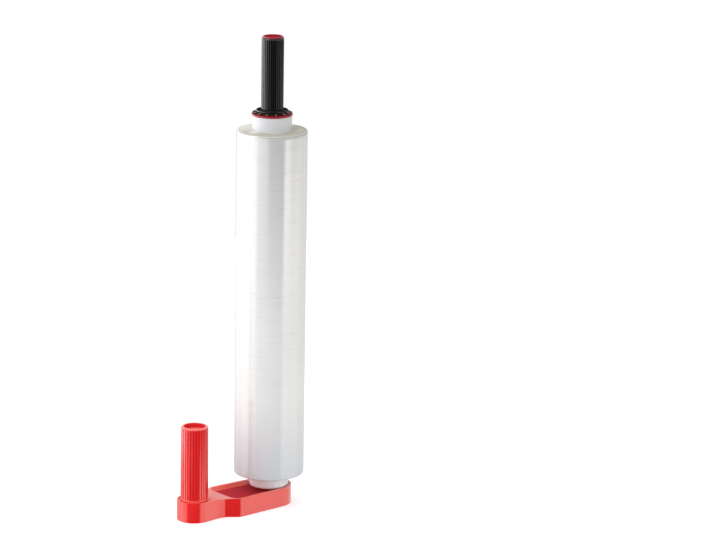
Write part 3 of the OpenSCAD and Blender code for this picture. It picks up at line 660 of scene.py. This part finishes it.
def makeTopGrip():
    low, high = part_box("top_grip")
    s = topGrip
    lip = (high.x - low.x) / 2
    inner = s["radius"] - s["wall"]
    insertLow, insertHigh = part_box("thread_insert")
    webTop = insertHigh.z + s["web"]
    corners = [
        (inner, low.z, s["edge"]),
        (lip - 3 * mm, low.z, 1.0 * mm),
        (lip, low.z + 0.5 * mm, 0.5 * mm),
        (lip, low.z + s["collarHeight"], 0.3 * mm),
        (lip - s["collarLip"], low.z + s["collarHeight"], 0.3 * mm),
        (lip - 2 * s["collarLip"], low.z + s["collarFloor"] * 0.7, 0.6 * mm),
        (s["radius"] + 0.01 * mm, low.z + s["collarFloor"] * 0.7, 0.4 * mm),
    ]
    corners += [(s["radius"], low.z + s["collarFloor"] + step * mm, 0) for step in (1.1, 1.4, 1.7)]
    corners += [(s["radius"], high.z - s["rimHeight"] + step * mm, 0) for step in (-0.8, -0.5, -0.2)]
    corners += [
        (s["radius"], high.z - s["shoulder"], s["rimRound"]),
        (s["capRadius"] + 0.45 * mm, high.z - s["capStep"], 0.15 * mm),
        (s["capRadius"], high.z - s["capStep"], 0),
        (s["capRadius"], high.z - s["capDepth"], 0),
        (inner, high.z - s["capDepth"], 0),
        (inner, webTop, 0),
        (s["studHole"], webTop, 0),
        (s["studHole"], insertHigh.z, 0),
        (s["insertRadius"], insertHigh.z, 0),
        (s["insertRadius"], insertLow.z, 0),
        (inner, insertLow.z, 0),
    ]
    lipTop = low.z + s["collarHeight"]
    mesh = flutedPiece(
        "topGrip", filleted(corners), s, low.z + s["collarFloor"] + 1 * mm, high.z - s["rimHeight"], s["radius"],
        materials["mouldedBlackAbs"],
        [
            (low.z - 1 * mm, low.z + 1.6 * mm, s["radius"] - 0.5 * mm, lip - 1.0 * mm),
            (lipTop - 0.2 * mm, lipTop + 1 * mm, lip - 1.2 * mm, lip + 0.1 * mm),
        ],
    )
    sharpEdges(mesh, 50)
    return addPiece("topGrip", mesh, "grip", "top_grip", "black_plastic")


gripCap = {
    "radius": 14.5 * mm, "seat": 2.35 * mm, "lip": 1.4 * mm, "lipRound": 0.5 * mm, "segments": 128,
    "dish": 1.8 * mm, "dishWall": 1.2 * mm, "dishWallDepth": 1.1 * mm, "dishRound": 1.2 * mm,
    "skirtOuter": 12.35 * mm, "skirtInner": 10.5 * mm, "edge": 0.2 * mm,
}


def makeGripCap():  # a dished cap with a rounded lip, and a skirt inside the grip
    low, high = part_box("grip_cap")
    s = gripCap
    seat = high.z - s["seat"]
    dishRadius = s["radius"] - s["lip"]
    outline = filleted([
        (0, seat, 0),
        (s["skirtInner"], seat, 0),
        (s["skirtInner"], low.z, s["edge"]),
        (s["skirtOuter"], low.z, s["edge"]),
        (s["skirtOuter"], seat, 0),
        (s["radius"], seat, s["edge"] / 2),
        (s["radius"], high.z, s["lipRound"]),
        (dishRadius, high.z, s["lipRound"]),
        (dishRadius - s["dishWall"], high.z - s["dishWallDepth"], s["dishRound"]),
        (0, high.z - s["dish"], 0),
    ])
    mesh = revolve("gripCap", outline, s["segments"])
    sharpEdges(mesh, 50)
    # painted shade: the dish inside the lip takes the darker hollow colour
    markHollows(mesh, lambda spot: 1.0 if math.hypot(spot.x, spot.y) < dishRadius - s["edge"] else 0.0)
    return addPiece("gripCap", mesh, "grip", "grip_cap", "dark_red_plastic")


# Brake star: a low hub on a thin disc, with narrow fins that slope down to the edge and repeat round the axis
brakeStar = {
    "fins": 12, "firstFin": math.radians(4), "holeRadius": 8.2 * mm, "hubRadius": 21.5 * mm, "discRadius": 27.9 * mm,
    "tipRadius": 28.2 * mm, "tipHeight": 0.8 * mm, "discHeight": 0.6 * mm, "finWidth": 1.0 * mm, "edge": 0.25 * mm,
    "grooveInner": 16.4 * mm, "grooveOuter": 21.1 * mm, "grooveDepth": 0.55 * mm, "segments": 144, "sections": 8,
}


def starFin(work, low, high, s):  # one fin along +X, its top rounded across
    rows = []
    rounding = s["finWidth"] / 2
    arc = [math.pi * k / 6 for k in range(1, 6)]
    for i in range(s["sections"] + 1):
        r = s["hubRadius"] - 1 * mm + (s["tipRadius"] - s["hubRadius"] + 1 * mm) * i / s["sections"]
        slope = max(0.0, (r - s["hubRadius"]) / (s["tipRadius"] - s["hubRadius"]))
        top = high - (high - low - s["tipHeight"]) * slope
        ring = [(r, -rounding, low), (r, -rounding, top - s["edge"])]
        ring += [(r, -rounding * math.cos(a), top - s["edge"] * (1 - math.sin(a))) for a in arc]
        ring += [(r, rounding, top - s["edge"]), (r, rounding, low)]
        rows.append([work.verts.new(spot) for spot in ring])
    for before, after in zip(rows, rows[1:]):
        for k in range(len(before)):
            work.faces.new((before[k], before[(k + 1) % len(before)], after[(k + 1) % len(before)], after[k]))
    work.faces.new(rows[0])
    work.faces.new(rows[-1])


def finTree():
    tree = newTree("finTree", {"fins": 12, "firstFin": 0.0})
    source = addNode(tree, "NodeGroupInput")
    isFin = addNode(tree, "GeometryNodeInputNamedAttribute", {"Name": "isFin"}, data_type="FLOAT")
    picked = addNode(tree, "FunctionNodeCompare", {0: isFin.outputs[0], 1: 0.5}, operation="GREATER_THAN")
    parts = addNode(tree, "GeometryNodeSeparateGeometry", {0: source.outputs["Geometry"], 1: picked.outputs[0]})
    spots = addNode(tree, "GeometryNodeMeshLine", {"Count": source.outputs["fins"], "Offset": (0, 0, 0)})
    number = addNode(tree, "GeometryNodeInputIndex")
    pitch = addNode(tree, "ShaderNodeMath", {0: 2 * math.pi, 1: source.outputs["fins"]}, operation="DIVIDE")
    turned = addNode(tree, "ShaderNodeMath", {
        0: number.outputs[0], 1: pitch.outputs[0], 2: source.outputs["firstFin"],
    }, operation="MULTIPLY_ADD")
    turn = addNode(tree, "ShaderNodeCombineXYZ", {"Z": turned.outputs[0]})
    fins = addNode(tree, "GeometryNodeInstanceOnPoints", {
        "Points": spots.outputs[0], "Instance": parts.outputs[0], "Rotation": turn.outputs[0],
    })
    together = addNode(tree, "GeometryNodeJoinGeometry")
    tree.links.new(fins.outputs[0], together.inputs[0])
    tree.links.new(parts.outputs[1], together.inputs[0])
    real = addNode(tree, "GeometryNodeRealizeInstances", {0: together.outputs[0]})
    finished = addNode(tree, "GeometryNodeSetMaterial", {
        "Geometry": real.outputs[0], "Material": source.outputs["Material"],
    })
    addNode(tree, "NodeGroupOutput", {0: finished.outputs[0]})
    return tree


def makeBrakeStar():
    low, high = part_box("brake_star")
    s = brakeStar
    disc = low.z + s["discHeight"]
    outline = filleted([
        (s["holeRadius"], low.z, 0),
        (s["grooveInner"], low.z, 0),
        (s["grooveInner"], low.z + s["grooveDepth"], 0),
        (s["grooveOuter"], low.z + s["grooveDepth"], 0),
        (s["grooveOuter"], low.z, 0),
        (s["discRadius"], low.z, s["edge"]),
        (s["discRadius"], disc, s["edge"]),
        (s["hubRadius"], disc, s["edge"]),
        (s["hubRadius"], high.z, s["edge"]),
        (s["holeRadius"], high.z, 0),
    ])
    mesh = revolve("brakeStar", outline, s["segments"])
    work = bmesh.new()
    work.from_mesh(mesh)
    discCount = len(work.verts)
    starFin(work, low.z, high.z, s)
    bmesh.ops.recalc_face_normals(work, faces=work.faces)
    work.to_mesh(mesh)
    work.free()
    mark = mesh.attributes.new("isFin", "FLOAT", "POINT")
    for i, item in enumerate(mark.data):
        item.value = 0.0 if i < discCount else 1.0
    numbers = {"fins": s["fins"], "firstFin": s["firstFin"]}
    mesh = runTree(finTree(), mesh, "brakeStar", numbers, materials["crestHighlightStarAbs"])
    mesh.shade_smooth()
    sharpEdges(mesh, 50)

    def crestHighlightAt(spot):  # only the fins' crests get the painted highlight, outside the hub
        outside = math.hypot(spot.x, spot.y) > s["hubRadius"] + 0.3 * mm
        return 1.0 if outside and spot.z > disc + 0.02 * mm else 0.0

    # painted shade in the pockets on the disc between the fins, painted highlight on the crests
    markHollows(mesh, lambda spot: 1.0 if spot.z < disc + 0.05 * mm else 0.0, crestHighlightAt)
    return addPiece("brakeStar", mesh, "dispenser", "brake_star", "black_plastic", "crestHighlightStarAbs")


def mouldedCopy(nodeName, pieceName, body, slotName, width, segments=3, reshape=None, depthAt=None):
    # the CAD shape with softened edges, and with the draft that a mould needs
    work = bmesh.new()
    work.from_mesh(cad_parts[nodeName].data)
    bmesh.ops.remove_doubles(work, verts=work.verts, dist=0.002 * mm)
    bmesh.ops.dissolve_limit(work, angle_limit=math.radians(0.2), verts=work.verts, edges=work.edges)
    if reshape:
        reshape(work)
    mesh = bpy.data.meshes.new(pieceName)
    work.to_mesh(mesh)
    work.free()
    mesh.shade_smooth()
    holder = bpy.data.objects.new("holder", mesh)
    bpy.context.scene.collection.objects.link(holder)
    bevel = holder.modifiers.new("softEdges", "BEVEL")
    bevel.width = width
    bevel.segments = segments
    bevel.limit_method = "ANGLE"
    bevel.angle_limit = math.radians(40)
    # broad walls keep a flat reflection up to their edges
    even = holder.modifiers.new("evenWalls", "WEIGHTED_NORMAL")
    even.mode = "FACE_AREA"
    even.weight = 90
    mesh = finalMesh(holder, pieceName)
    if depthAt:
        markHollows(mesh, depthAt)
    return addPiece(pieceName, mesh, body, nodeName, slotName)


trayShape = {"floorHeight": 21.5 * mm, "draft": 4.2 * mm, "socketRadius": 18 * mm}
flare = {
    "start": 24 * mm, "length": 26 * mm, "longer": 8 * mm, "late": 1.7, "narrow": 22 * mm, "wide": 35.3 * mm,
    "wall": 3.4 * mm, "padRadius": 30 * mm,
}


def blend(t):
    return (1 - math.cos(math.pi * t)) / 2


def stretchFlare(work):  # the arm widens late, in a long hollow curve with a short shoulder at its end
    grow = flare["wide"] - flare["narrow"]
    for vertex in work.verts:
        share = (vertex.co.x - gripAxis.x - flare["start"]) / flare["length"]
        half = flare["narrow"] + grow * blend(share)
        if 0 < share < 1.001 and half - flare["wall"] < abs(vertex.co.y) < half + 0.3 * mm:
            vertex.co.x += flare["longer"] * share
            outwards = math.copysign(1, vertex.co.y)
            vertex.co.y += outwards * grow * (blend(share ** flare["late"]) - blend(share))


def slopeTray(work):  # the tray's walls lean out, so their feet move in over the floor
    moves = {}
    for vertex in work.verts:
        fromAxis = math.hypot(vertex.co.x, vertex.co.y)
        if abs(vertex.co.z - trayShape["floorHeight"]) > 0.05 * mm or fromAxis < trayShape["socketRadius"]:
            continue
        walls = [face.normal for face in vertex.link_faces if abs(face.normal.z) < 0.1]
        if walls and any(face.normal.z > 0.9 for face in vertex.link_faces):
            inward = sum(walls, Vector()).normalized()
            moves[vertex] = inward * trayShape["draft"]
    for vertex, move in moves.items():
        vertex.co += move
    print("tray wall points moved:", len(moves))


def reshapeArm(work):
    slopeTray(work)
    stretchFlare(work)


def armHollows(spot):  # the pad round the side grip's foot lies lower than the arm's rim
    onPad = abs(spot.z - gripFoot) < 0.1 * mm and math.hypot(spot.x - gripAxis.x, spot.y) < flare["padRadius"]
    return 1.0 if onPad else 0.0


filmRoll = {
    "segments": 240, "rows": 130, "endTurns": 34, "endRelief": 0.35 * mm, "edge": 2.2 * mm, "inner": 28.05 * mm,
    "swell": 0.12 * mm, "hoopDent": 0.05 * mm,
}


def makeFilmRoll():
    low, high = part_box("film_roll")
    radius = (high.x - low.x) / 2
    s = filmRoll
    flat = radius - s["edge"] - s["inner"]
    ends = []
    for i in range(s["endTurns"]):
        crest = s["endRelief"] * (0.25 + 0.75 * abs(noise.noise(Vector((i * 0.37, 1.7, 0.0)))) * 1.6)
        crest = min(crest, s["endRelief"])
        ends.append((s["inner"] + flat * i / s["endTurns"], s["endRelief"] - crest * 0.2))
        ends.append((s["inner"] + flat * (i + 0.5) / s["endTurns"], s["endRelief"] - crest))
    arc = [
        (radius - s["edge"] * (1 - math.sin(a)), s["edge"] * (1 - math.cos(a)))
        for a in (math.radians(11.25 * k) for k in range(9))
    ]
    lowHalf = [(r, low.z + max(0.0, d)) for r, d in ends + arc]
    highHalf = [(r, low.z + high.z - z) for r, z in reversed(lowHalf)]
    side = [(radius, z) for z in climb(low.z + s["edge"], high.z - s["edge"], s["rows"])]
    outline = [Vector(p) for p in lowHalf + side + highHalf]
    mesh = revolve("filmRoll", outline, s["segments"])
    for vertex in mesh.vertices:
        r = math.hypot(vertex.co.x, vertex.co.y)
        if r < radius - 0.3 * mm:
            continue
        broad = noise.noise(Vector((vertex.co.x * 9, vertex.co.y * 9, vertex.co.z * 14)))
        hoop = noise.noise(Vector((0, 0, vertex.co.z * 160)))
        dent = s["swell"] * (0.5 + 0.5 * broad) + s["hoopDent"] * (1 + hoop)
        vertex.co.x *= 1 - dent / r
        vertex.co.y *= 1 - dent / r
    sharpEdges(mesh, 60)
    return addPiece("filmRoll", mesh, "roll", "film_roll", "stretch_film")


makeSideGrip()
makeTopGrip()
print("fluted grips made")
mouldedCopy("base_arm", "baseArm", "dispenser", "red_plastic", 0.7 * mm, 3, reshapeArm, armHollows)
makeBrakeStar()
makeGripCap()
print("moulded pieces made")
makeFilmRoll()
print("film roll made")


# Pale floor in a studio: soft white walls of light to the left and right, a dimmer room behind the camera
studio = {
    "floorRadius": 1.6, "floorColour": "d0d0d0", "cameraGlow": 0.5, "cameraAngle": -130.1, "brightest": 4.0,
    # angle round the part from the camera's side, to the right, and how bright the studio is there
    "floorBand": [
        (-180, 0.5), (-150, 0.5), (-126, 0.9), (-112, 0.8), (-92, 2.2), (-60, 1.9), (-50, 2.0), (-43, 0.06),
        (38, 0.06), (46, 2.2), (96, 2.2), (118, 1.3), (150, 1.1), (180, 0.5),
    ],
    "wallBand": [
        (-180, 0.35), (-158, 0.5), (-140, 2.8), (-128, 3.8), (-80, 4.0), (-70, 2.0), (-62, 1.2), (-48, 1.0),
        (-14, 0.7), (-3, 0.12), (43, 0.12), (49, 0.9), (62, 0.9), (70, 0.42), (88, 0.42), (105, 0.6), (125, 0.6),
        (140, 0.7), (160, 0.6), (180, 0.35),
    ],
    "gripBand": [
        (-180, 0.35), (-158, 0.6), (-140, 3.0), (-128, 4.0), (-80, 4.0), (-70, 2.6), (-62, 1.6), (-48, 0.9),
        (-14, 0.4), (-3, 0.1), (43, 0.1), (60, 0.3), (80, 0.2), (120, 0.25), (180, 0.35),
    ],
    "high": [
        (-180, 0.8), (-150, 0.8), (-120, 1.2), (-60, 1.3), (-40, 1.0), (40, 0.9), (60, 0.9), (120, 0.8),
        (150, 0.8), (180, 0.8),
    ],
    # how high each of them reaches, as the upward share of a ray's direction where it starts and ends to blend
    "wallFrom": (-0.28, -0.2), "gripFrom": (-0.205, -0.195), "highFrom": (-0.03, 0.12), "overheadFrom": (0.6, 0.9),
    "overhead": 1.3, "floorTint": (1.0, 0.95, 0.84),
}


def brightnessRamp(tree, around, stops):
    ramp = addNode(tree, "ShaderNodeValToRGB", {"Fac": around})
    elements = ramp.color_ramp.elements
    elements.remove(elements[-1])
    for i, (degrees, level) in enumerate(stops):
        stop = elements[0] if i == 0 else elements.new((degrees + 180) / 360)
        stop.position = (degrees + 180) / 360
        stop.color = [level / studio["brightest"]] * 3 + [1]
    return ramp.outputs["Color"]


def makeStudio():
    world = bpy.data.worlds.new("studio")
    bpy.context.scene.world = world
    world.use_nodes = True
    tree = world.node_tree
    tree.nodes.clear()
    direction = addNode(tree, "ShaderNodeTexCoord").outputs["Generated"]
    axes = addNode(tree, "ShaderNodeSeparateXYZ", {"Vector": direction})
    angle = addNode(tree, "ShaderNodeMath", {0: axes.outputs["Y"], 1: axes.outputs["X"]}, operation="ARCTAN2")
    start = (180 - studio["cameraAngle"]) / 360
    turn = addNode(tree, "ShaderNodeMath", {
        0: angle.outputs[0], 1: 1 / (2 * math.pi), 2: start,
    }, operation="MULTIPLY_ADD")
    around = addNode(tree, "ShaderNodeMath", {0: turn.outputs[0]}, operation="FRACT").outputs[0]
    floorBand, wallBand, gripBand, high = (
        brightnessRamp(tree, around, studio[name]) for name in ("floorBand", "wallBand", "gripBand", "high")
    )
    warm = addNode(tree, "ShaderNodeMix", {
        0: 1.0, 6: floorBand, 7: studio["floorTint"] + (1,),
    }, data_type="RGBA", blend_type="MULTIPLY")
    risen, upper, above, overhead = (
        addNode(tree, "ShaderNodeMapRange", {
            "Value": axes.outputs["Z"], "From Min": studio[name][0], "From Max": studio[name][1],
        }).outputs[0]
        for name in ("wallFrom", "gripFrom", "highFrom", "overheadFrom")
    )
    below = addNode(tree, "ShaderNodeMix", {0: risen, 6: warm.outputs[2], 7: wallBand}, data_type="RGBA")
    middle = addNode(tree, "ShaderNodeMix", {0: upper, 6: below.outputs[2], 7: gripBand}, data_type="RGBA")
    walls = addNode(tree, "ShaderNodeMix", {0: above, 6: middle.outputs[2], 7: high}, data_type="RGBA")
    top = [studio["overhead"] / studio["brightest"]] * 3 + [1]
    room = addNode(tree, "ShaderNodeMix", {0: overhead, 6: walls.outputs[2], 7: top}, data_type="RGBA")
    lit = addNode(tree, "ShaderNodeBackground", {"Color": room.outputs[2], "Strength": studio["brightest"]})
    white = addNode(tree, "ShaderNodeBackground", {"Color": (1, 1, 1, 1), "Strength": 1.0})
    paths = addNode(tree, "ShaderNodeLightPath").outputs
    seen = addNode(tree, "ShaderNodeMath", {
        0: paths["Is Camera Ray"], 1: paths["Is Transmission Ray"],
    }, operation="MAXIMUM")
    both = addNode(tree, "ShaderNodeMixShader", {0: seen.outputs[0], 1: lit.outputs[0], 2: white.outputs[0]})
    addNode(tree, "ShaderNodeOutputWorld", {"Surface": both.outputs[0]})

    material, tree = newMaterial("paleFloor")
    pale = addNode(tree, "ShaderNodeBsdfDiffuse", {"Color": linear(studio["floorColour"])})
    seen = addNode(tree, "ShaderNodeLightPath").outputs["Is Camera Ray"]
    glowStrength = addNode(tree, "ShaderNodeMath", {0: seen, 1: studio["cameraGlow"]}, operation="MULTIPLY")
    glow = addNode(tree, "ShaderNodeEmission", {"Color": (1, 1, 1, 1), "Strength": glowStrength.outputs[0]})
    total = addNode(tree, "ShaderNodeAddShader", {0: pale.outputs[0], 1: glow.outputs[0]})
    addNode(tree, "ShaderNodeOutputMaterial", {"Surface": total.outputs[0]})
    mesh = bpy.data.meshes.new("floor")
    disc = bmesh.new()
    bmesh.ops.create_circle(disc, cap_ends=True, radius=studio["floorRadius"], segments=128)
    disc.to_mesh(mesh)
    disc.free()
    mesh.materials.append(material)
    floor = bpy.data.objects.new("floor", mesh)
    floor.visible_glossy = False  # mirrored rays go on to the studio, which is as bright as a floor there
    bpy.context.scene.collection.objects.link(floor)


lamps = {
    "keyLight": {"angle": -60, "distance": 1.6, "height": 1.3, "size": (1.0, 1.4), "watts": 7.5, "mirrored": True},
    "fillLight": {"angle": 45, "distance": 2.0, "height": 1.1, "size": (0.8, 1.2), "watts": 5, "mirrored": False},
}


def makeLamps():
    middle = Vector((0, 0, 0.3))
    for name, lamp in lamps.items():
        data = bpy.data.lights.new(name, "AREA")
        data.shape = "RECTANGLE"
        data.size, data.size_y = lamp["size"]
        data.energy = lamp["watts"]
        angle = math.radians(studio["cameraAngle"] + lamp["angle"])
        place = Vector((
            lamp["distance"] * math.cos(angle), lamp["distance"] * math.sin(angle), lamp["height"],
        ))
        holder = bpy.data.objects.new(name, data)
        holder.location = place
        holder.visible_glossy = lamp["mirrored"]
        holder.rotation_euler = (place - middle).to_track_quat("Z", "Y").to_euler()
        bpy.context.scene.collection.objects.link(holder)


makeStudio()
makeLamps()
print("studio ready")
